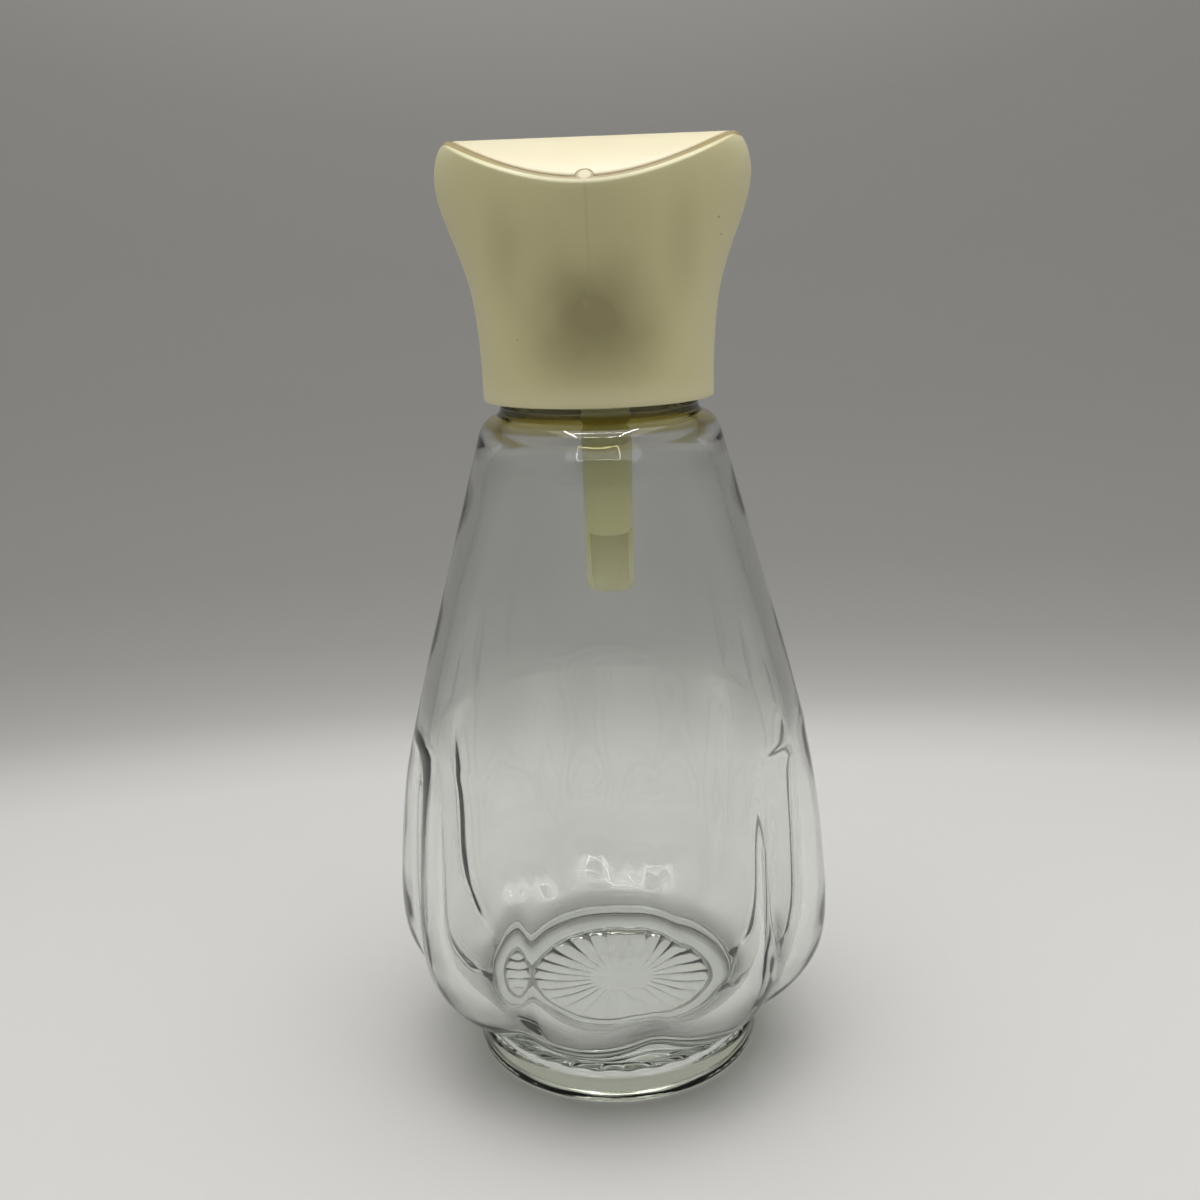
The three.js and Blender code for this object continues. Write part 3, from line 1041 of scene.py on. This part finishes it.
@dataclass
class CapShell:
    """The flared cap: skirt, deck on the neck's lip, chamber, ledge and the rim round the top plate."""

    finish: Plastic = CAP_PLASTIC
    form: CapForm = field(default_factory=CapForm)
    columns: int = 240
    wall_rings: int = 64
    chamber_rings: int = 24
    wall: float = 1.6
    skirt_round: float = 0.4
    bore: float = 18.4
    bore_round: float = 0.3
    deck: Pair = (138.0, 139.6)
    ledge: float = 1.0
    seat: Pair = (23.4, 19.0)
    seat_depth: float = 2.1
    rim_round: float = 0.3
    seat_round: float = 0.2
    seat_chamfer: float = 0.06
    tube_hole: float = 4.7
    key_radius: float = 1.4
    key_y: float = -18.8
    key_front: float = 0.35
    key_back: float = 0.8
    key_drop: float = 0.12
    key_columns: int = 32

    def ring(self, half_length: Numbers, half_depth: Numbers, z: Callable | Numbers) -> Array:
        """Points round the cap.

        Args:
            half_length: half axis along X, one for all or one a column.
            half_depth: half axis along Y.
            z: heights, or a function of Y.

        Returns:
            The points in millimetres.
        """
        angles = turns(self.columns)
        heights = z(half_depth * np.sin(angles)) if callable(z) else z
        return circle(angles, half_length, half_depth, heights)

    def wall_ring(self, z: Numbers, inset: float = 0.0) -> Array:
        """Points round the cap at given heights, in from its outside."""
        return self.ring(self.form.half_length(z) - inset, self.form.half_depth - inset, z)

    def outer_wall(self) -> list[Array]:
        """Draws the outside from the skirt's edge up over the rim's rounding.

        Returns:
            Its rings.
        """
        form, sines = self.form, np.sin(turns(self.columns))
        low = form.bottom + self.skirt_round
        top = form.crown(form.half_depth * sines) - self.rim_round
        rings = [self.wall_ring(low + (top - low) * share) for share in np.linspace(0, 1, self.wall_rings)]
        for turn in np.radians([18, 36, 54, 72, 90]):
            inset = self.rim_round * (1 - math.cos(turn))
            drop = self.rim_round * (1 - math.sin(turn))
            rings.append(self.wall_ring(form.crown((form.half_depth - inset) * sines) - drop, inset))
        return rings

    def build(self) -> Piece:
        """Builds the cap's shell.

        Returns:
            The finished piece.
        """
        form, bottom, soft = self.form, self.form.bottom, self.skirt_round
        length, depth = form.half_length(bottom), form.half_depth
        rings = [
            self.ring(length - soft, depth - soft, bottom),
            self.ring(length - soft / 4, depth - soft / 4, bottom + 0.12),
            *self.outer_wall(),
        ]
        rim = rings[-1]
        inner = self.ring(self.seat[0] + self.seat_round, self.seat[1] + self.seat_round, form.crown)
        for share in (0.3, 0.6, 1.0):
            flat = rim * (1 - share) + inner * share
            flat[:, 2] = form.crown(flat[:, 1])
            rings.append(flat)
        chamfer = self.seat_chamfer
        floor, roof = form.below(self.seat_depth), form.below(self.seat_depth + self.ledge)
        throat = (self.seat[0] - self.ledge, self.seat[1] - self.ledge)
        rings += [
            self.ring(self.seat[0] + chamfer, self.seat[1] + chamfer, form.below(chamfer)),
            self.ring(*self.seat, form.below(self.seat_round)),
            self.ring(*self.seat, floor),
            self.ring(*throat, floor),
            self.ring(*throat, roof),
        ]
        low, high = self.deck
        rise = roof((depth - self.wall) * np.sin(turns(self.columns))) - high
        shares = np.linspace(1, 0, self.chamber_rings)
        rings += [self.wall_ring(high + rise * share, self.wall) for share in shares]
        hole = self.ring(self.tube_hole, self.tube_hole, high) + np.array([VentTube.x, 0, 0])
        bore, soft = self.bore, self.bore_round
        rings += [
            hole,
            hole - np.array([0, 0, high - low]),
            self.ring(bore, bore, low),
            self.ring(bore, bore, bottom + soft),
            self.ring(bore + soft, bore + soft, bottom),
        ]
        made = wrapped("cap_shell_body", np.array(rings) * MM)
        carve(made, self.key_column("key", self.key_radius, self.key_drop), "UNION")
        dress(made, self.finish.material())
        return made

    def key_column(self, name: str, radius: float, below: float) -> Piece:
        """Makes a column at the plate's front edge, flatter in front than behind.

        Args:
            name: the object's name.
            radius: the column's radius.
            below: how far its top stays under the crown.

        Returns:
            The column.
        """
        around = turns(self.key_columns)
        outward = np.where(np.sin(around) < 0, self.key_front, self.key_back)
        x, y = radius * np.cos(around), self.key_y + radius * np.sin(around) * outward
        crown = self.form.crown
        drops = (self.seat_depth + self.ledge / 2, below)
        foot, top = (np.tile([0, self.key_y, crown(self.key_y) - drop], (len(x), 1)) for drop in drops)
        sides = [np.stack([x, y, crown(y) - drop], axis=1) for drop in drops]
        return poled(name, np.array([foot, *sides, top]) * MM)


@dataclass
class TopPlate:
    """The crowned plate set into the cap's top, notched round the rim's key."""

    finish: Plastic = PLATE_PLASTIC
    shell: CapShell = field(default_factory=CapShell)
    half_length: float = 23.2
    half_depth: float = 18.8
    thickness: float = 1.8
    edge_round: float = 0.25
    notch_gap: float = 0.06
    notch_rise: float = 1.0

    def build(self) -> Piece:
        """Builds the plate.

        Returns:
            The finished piece.
        """
        below, ring, soft = self.shell.form.below, self.shell.ring, self.edge_round
        length, depth = self.half_length, self.half_depth
        top, bottom = below(0.0), below(self.thickness)
        loops = [ring(0.0, 0.0, top)]
        shares = np.linspace(0.06, 1, 14)
        loops += [ring((length - soft) * share, (depth - soft) * share, top) for share in shares]
        for turn in np.radians([30, 60, 90]):
            inset, drop = soft * (1 - math.sin(turn)), soft * (1 - math.cos(turn))
            loops.append(ring(length - inset, depth - inset, below(drop)))
        loops.append(ring(length, depth, bottom))
        loops += [ring(length * share, depth * share, bottom) for share in np.linspace(0.95, 0.1, 10)]
        loops.append(ring(0.0, 0.0, bottom))
        made = poled("cap_top_plate_body", np.array(loops) * MM)
        notch = self.shell.key_column("notch", self.shell.key_radius + self.notch_gap, -self.notch_rise)
        carve(made, notch, "DIFFERENCE")
        dress(made, self.finish.material())
        return made


@dataclass
class VentTube:
    """The vent tube: a collar on the cap's deck and a lower end whose front half is cut away."""

    finish: Plastic = TUBE_PLASTIC
    x: float = 1.1
    radius: float = 4.4
    bore: float = 3.4
    tip: float = 87.6
    scoop: float = 99.0
    collar_radius: float = 6.8
    collar: Pair = (139.9, 141.3)
    columns: int = 96
    wall_rings: int = 40
    corner_radius: float = 2.4
    cut_back: float = 0.16
    cut_span: float = 0.34
    cut_sag: float = 0.8
    edge_step: float = 0.12
    wall_foot: float = 0.25
    bore_short: float = 0.45

    def lower_edge(self, angles: Array) -> Array:
        """Shapes the tube's lower end: high in front, a round-cornered tongue behind.

        Args:
            angles: places round the tube.

        Returns:
            The end's height at each.
        """
        x, y = np.abs(np.cos(angles)), np.sin(angles)
        share = np.clip((y + self.cut_back) / self.cut_span, 0, 1)
        blend = share**2 * (3 - 2 * share)
        open_front = self.scoop + self.cut_sag * x**4
        reach = np.clip((x * self.radius - (self.radius - self.corner_radius)) / self.corner_radius, 0, 1)
        tongue = self.tip + self.corner_radius * (1 - np.sqrt(1 - reach**2))
        return open_front * (1 - blend) + tongue * blend

    def ring(self, radius: float, z: Numbers) -> Array:
        """Points round the tube at a radius."""
        return circle(turns(self.columns), radius, radius, z) + (self.x, 0, 0)

    def build(self) -> Piece:
        """Builds the tube.

        Returns:
            The finished piece.
        """
        ring, step = self.ring, self.edge_step
        edge = self.lower_edge(turns(self.columns))
        foot = edge + self.wall_foot
        low, high = self.collar
        shares = np.linspace(0, 1, self.wall_rings)
        inside = foot + np.outer(shares, high - edge - self.bore_short)
        loops = [ring((self.radius + self.bore) / 2, edge), ring(self.radius - step, edge + 0.04)]
        loops += [ring(self.radius, foot + (low - edge - self.wall_foot) * share) for share in shares]
        loops += [ring(self.collar_radius, low), ring(self.collar_radius, high), ring(self.bore, high)]
        loops += [ring(self.bore, heights) for heights in inside[::-1]]
        loops.append(ring(self.bore + step, edge + 0.04))
        made = wrapped("vent_tube_body", np.array(loops) * MM)
        dress(made, self.finish.material(), 50)
        return made


# Studio


@dataclass
class Studio:
    """Pale floor that turns grey with distance, soft overhead light and the camera. Lengths are metres.

    The grey is painted shade, and the paper's glow under the foot and far off is painted light.
    """

    focal_share: float = 1250 / 1200
    sensor: float = 36.0
    nearest: float = 0.01
    pitch: float = math.radians(14.957)
    roll: float = math.radians(1.848)
    yaw: float = math.radians(-0.2445)
    swing: float = math.radians(3.6)
    distance: float = 0.2209
    height: float = 0.1456
    floor_gap: float = 0.0002
    floor_columns: int = 128
    floor_rings: tuple[float, ...] = (0.05, 0.1, 0.2, 0.35, 0.5, 0.7)
    floor_curve: float = 0.5
    floor_top: float = 0.7
    paper_reach: float = 1.6
    paper_turn: float = math.radians(-5)
    paper_scale: Triple = (0.45, 1, 0)
    # Painted shade: the paper's grey by distance, darker than its own pale tone further out.
    paper_shade_greys: tuple[Pair, ...] = (
        (0.0, 0.86), (0.13, 0.85), (0.155, 0.765), (0.19, 0.575), (0.22, 0.50), (0.27, 0.445), (0.40, 0.42),
        (0.60, 0.435), (0.90, 0.47), (1.20, 0.515), (1.43, 0.575), (1.52, 0.66), (1.60, 0.74),
    )
    # Painted light: the paper's glow by distance.
    painted_paper_glows: tuple[Pair, ...] = (
        (0.0, 0.0), (0.33, 0.0), (0.60, 0.05), (0.90, 0.07), (1.15, 0.10), (1.33, 0.13), (1.50, 0.17),
        (1.60, 0.21),
    )
    warmth: Triple = (1.0, 0.985, 0.955)
    paper_roughness: float = 0.9
    paper_grain: Pair = (0.004, 0.00005)
    # Strength of the painted glow.
    glow: float = 0.46
    # Painted light: the glow under the bottle's foot, inside the edge below.
    painted_foot_glow: Colour = (0.66, 0.66, 0.63)
    foot_edge: Step = (0.0245, 0.0275, 1.0, 0.0)
    sky: Colour = (1.0, 1.0, 0.985)
    sky_step: Step = (0.35, 0.9, 0.28, 0.78)
    dark_side: Triple = (0.06, -0.90, 0.43)
    dark_step: Step = (0.62, 0.86, 1.0, 0.12)
    panel_size: Pair = (0.42, 0.36)
    panel_place: Triple = (0.025, -0.06, 0.46)
    panel_power: float = 0.86
    strip_glow: float = 50.0
    strip_width: float = 0.006
    strip_half: Pair = (0.10, 0.12)
    strip_y: float = -0.09
    strip_height: float = 0.40

    def camera(self) -> None:
        """Places the camera at the picture's viewing angle."""
        data = bpy.data.cameras.new("camera")
        data.sensor_width = self.sensor
        data.lens = self.sensor * self.focal_share
        data.clip_start = self.nearest
        turn = Matrix.Rotation(self.swing, 3, "Z")
        ahead = turn @ Vector((math.sin(self.yaw), math.cos(self.yaw), 0))
        right = ahead.cross(Vector((0, 0, 1)))
        up = math.sin(self.pitch) * ahead + Vector((0, 0, math.cos(self.pitch)))
        look = math.cos(self.pitch) * ahead - Vector((0, 0, math.sin(self.pitch)))
        rolled_right = math.cos(self.roll) * right - math.sin(self.roll) * up
        rolled_up = math.sin(self.roll) * right + math.cos(self.roll) * up
        frame_axes = Matrix((rolled_right, rolled_up, -look)).transposed().to_4x4()
        made = bpy.data.objects.new("camera", data)
        place = turn @ Vector((0, -self.distance, 0)) + Vector((0, 0, self.height))
        made.matrix_world = Matrix.Translation(place) @ frame_axes
        bpy.context.scene.collection.objects.link(made)
        bpy.context.scene.camera = made

    def floor(self) -> None:
        """Lays a round floor with a gently raised far edge."""
        flat, bend, around = self.floor_rings[-1], self.floor_curve, self.floor_columns
        line = [(r, 0.0) for r in self.floor_rings]
        rise = np.linspace(0.2, math.pi / 2, 8)
        line += [(flat + bend * math.sin(t), bend - bend * math.cos(t)) for t in rise]
        line += [(flat + bend, self.floor_top)]
        points = [(0.0, 0.0, -self.floor_gap)]
        points += [
            (r * math.cos(t), r * math.sin(t), z - self.floor_gap) for r, z in line for t in turns(around)
        ]
        faces = [(0, 1 + i, 1 + (i + 1) % around) for i in range(around)]
        for a, b, c, d in band_faces(len(line) - 1, len(line), around):
            faces.append((a + 1, d + 1, c + 1, b + 1))
        made = mesh_object("studio_floor", points, faces, closed=False)
        made.data.materials.append(self.paper())

    def graded(self, paint: Paint, away: Wire, greys: Sequence[Pair]) -> Wire:
        """Grades a faintly warm grey with distance: the paper's painted shade, or its painted glow.

        Args:
            paint: the material's tree.
            away: the distance.
            greys: distance and grey of each stop.

        Returns:
            The colour.
        """
        stops = [(far / self.paper_reach, tuple(part * grey for part in self.warmth)) for far, grey in greys]
        return paint.wire(paint.node("ShaderNodeValToRGB", {"stops": stops}, {0: away / self.paper_reach}))

    def paper(self) -> Material:
        """Makes matt paper, pale near the bottle and grey further out, that glows under the foot and far off.

        The grey further out is painted shade and the glow is painted light.

        Returns:
            The material.
        """
        paint = Paint("studio_paper")
        paint.material.cycles.emission_sampling = "NONE"
        away = paint.length(paint.mapped(self.paper_scale, self.paper_turn)) + paint.reads["z"]
        under_foot = paint.ramp(paint.reads["radius"], *self.foot_edge)
        # Painted light: a glow under the foot and far off; painted shade: the grey by distance.
        painted_far_glow = self.graded(paint, away, self.painted_paper_glows)
        return paint.principled({
            "Base Color": self.graded(paint, away, self.paper_shade_greys),
            "Emission Color": paint.mix(under_foot, painted_far_glow, self.painted_foot_glow),
            "Emission Strength": self.glow,
            "Roughness": self.paper_roughness,
            "Normal": paint.bump(paint.noise(self.paper_grain[0], 3.0), self.paper_grain[1]),
        })

    def lamp(self, name: str, size: Pair, place: Triple, power: float) -> Piece:
        """Hangs a lamp that shines straight down.

        Args:
            name: the lamp's name.
            size: its length along X and Y.
            place: its middle.
            power: its power in watts.

        Returns:
            The lamp.
        """
        data = bpy.data.lights.new(name, "AREA")
        data.shape = "RECTANGLE"
        data.size, data.size_y = size
        data.energy = power
        made = bpy.data.objects.new(name, data)
        made.location = place
        bpy.context.scene.collection.objects.link(made)
        return made

    def light(self) -> None:
        """Sets the sky, a soft panel overhead and a frame of thin bright strips that the glass mirrors."""
        world = bpy.data.worlds.new("studio_world")
        bpy.context.scene.world = world
        world.use_nodes = True
        world.node_tree.nodes.clear()
        sky = Bench(world.node_tree)
        direction = sky.wire(sky.node("ShaderNodeTexCoord"), "Generated")
        near = sky.vector("DOT_PRODUCT", direction, self.dark_side, output="Value")
        light = sky.ramp(sky.parts(direction)[2], *self.sky_step) * sky.ramp(near, *self.dark_step)
        glow = sky.node("ShaderNodeBackground", None, {"Color": (*self.sky, 1), "Strength": light})
        sky.node("ShaderNodeOutputWorld", None, {"Surface": sky.wire(glow)})
        self.lamp("panel", self.panel_size, self.panel_place, self.panel_power)
        half_x, half_y = self.strip_half
        thick = self.strip_width
        strips = [((2 * half_x, thick), (0.0, self.strip_y + y)) for y in (-half_y, 0.0, half_y)]
        strips += [((thick, 2 * half_y), (x, self.strip_y)) for x in (-half_x, half_x)]
        for number, (size, place) in enumerate(strips):
            power = self.strip_glow * math.pi * size[0] * size[1]
            strip = self.lamp(f"strip_{number}", size, (*place, self.strip_height), power)
            strip.visible_diffuse = False
        bpy.context.scene.view_settings.view_transform = "Standard"

    def build(self) -> None:
        """Sets up camera, floor and light."""
        self.camera()
        self.floor()
        self.light()


def place_piece(piece: Piece, node: str) -> None:
    """Puts a piece in place of its CAD node.

    Args:
        piece: the finished piece.
        node: the CAD node that it stands for.
    """
    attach(piece, BODY)
    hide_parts(node)
    triangles = sum(len(face.vertices) - 2 for face in piece.data.polygons)
    log.info("%s: %d triangles in place of %s", piece.name, triangles, node)


def main() -> None:
    """Builds the studio and the dispenser's four pieces."""
    logging.basicConfig(level=logging.INFO, format="%(name)s: %(message)s")
    Studio().build()
    shell = CapShell()
    place_piece(GlassBottle().build(), "glass_bottle")
    place_piece(shell.build(), "cap_shell")
    place_piece(TopPlate(shell=shell).build(), "cap_top_plate")
    place_piece(VentTube().build(), "vent_tube")


if __name__ == "__main__":
    main()
